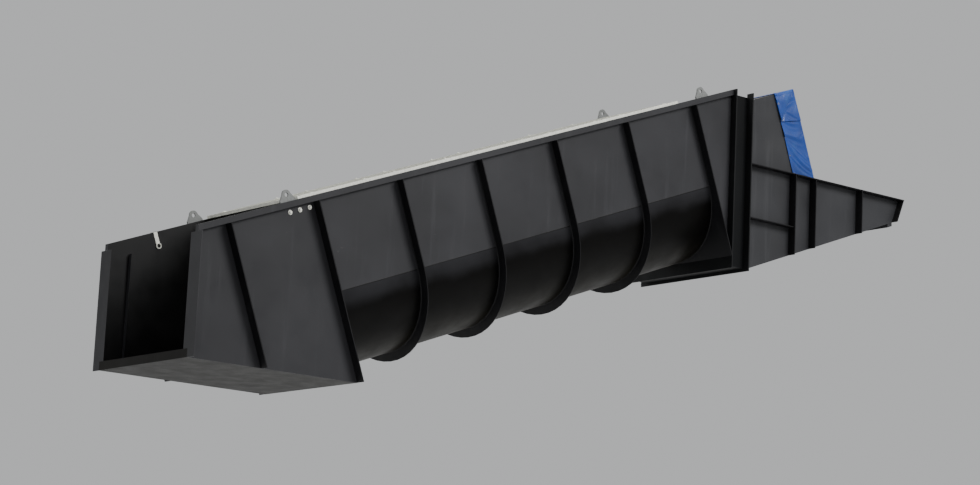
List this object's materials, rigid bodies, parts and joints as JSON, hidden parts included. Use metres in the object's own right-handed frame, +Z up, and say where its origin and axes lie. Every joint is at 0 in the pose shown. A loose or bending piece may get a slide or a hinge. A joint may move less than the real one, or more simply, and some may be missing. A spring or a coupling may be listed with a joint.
{
  "type": "archimedes screw turbine",
  "caption": "Inclined Archimedes screw turbine in a ribbed steel trough, with a level outlet box, a plumb headwall flange, an open inlet channel and a covered drive housing.",
  "frame": {"origin": "middle of the outlet sole, the level underside of the low end", "axes": "+Z up, +X up the slope towards the inlet, +Y to the left seen going up the slope"},
  "size_m": [13.669, 2.51, 5.7989],
  "materials": {
    "wall_paint": "semi-gloss dark grey paint on rolled plate, light dust and rubbed edges",
    "rib_paint": "semi-gloss near-black paint on flat bar",
    "box_paint": "semi-gloss dark grey paint on plate",
    "screw_paint": "thick satin black coating",
    "galvanised": "hot-dip galvanised, matt spangle",
    "bearing_paint": "blue-grey machine enamel on casting",
    "tarpaulin": "woven polyethylene sheet, creased, slight sheen"
  },
  "bodies": {
    "trough": {"outlet_wall_left": "wall_paint", "outlet_wall_right": "wall_paint", "trough_bottom": "wall_paint", "trough_wall_left": "wall_paint", "trough_wall_right": "wall_paint", "top_rail_left": "wall_paint", "top_rail_right": "wall_paint", "rib_1_left": "rib_paint", "rib_1_right": "rib_paint", "rib_2_bulkhead": "rib_paint", "rib_3": "rib_paint", "rib_4": "rib_paint", "rib_5": "rib_paint", "rib_6": "rib_paint", "rib_7_bulkhead": "rib_paint", "headwall_flange": "rib_paint", "inlet_flange": "rib_paint", "throat": "rib_paint", "inlet_frame_left": "rib_paint", "inlet_frame_right": "rib_paint", "lower_bearing_beam": "rib_paint", "outlet_sole": "box_paint", "inlet_floor": "box_paint", "inlet_wall_left": "box_paint", "inlet_wall_right": "box_paint", "housing_shell": "box_paint", "housing_tray": "box_paint", "cover_1": "galvanised", "cover_2": "galvanised", "cover_3": "galvanised", "cover_4": "galvanised", "cover_5": "galvanised", "lug_lower_left": "galvanised", "lug_lower_right": "galvanised", "lug_upper_left": "galvanised", "lug_upper_right": "galvanised", "lower_bearing": "bearing_paint", "upper_bearing": "bearing_paint", "tarpaulin": "tarpaulin"},
    "screw": {"screw_tube": "screw_paint", "flight_1": "screw_paint", "flight_2": "screw_paint", "flight_3": "screw_paint", "flight_4": "screw_paint"}
  },
  "joints": [
    {"name": "screw_spin", "type": "hinge", "parent": "trough", "child": "screw", "pos_m": [-0.469, 0, 0.654], "axis": [0.9336, 0, 0.3584], "continuous": true}
  ]
}
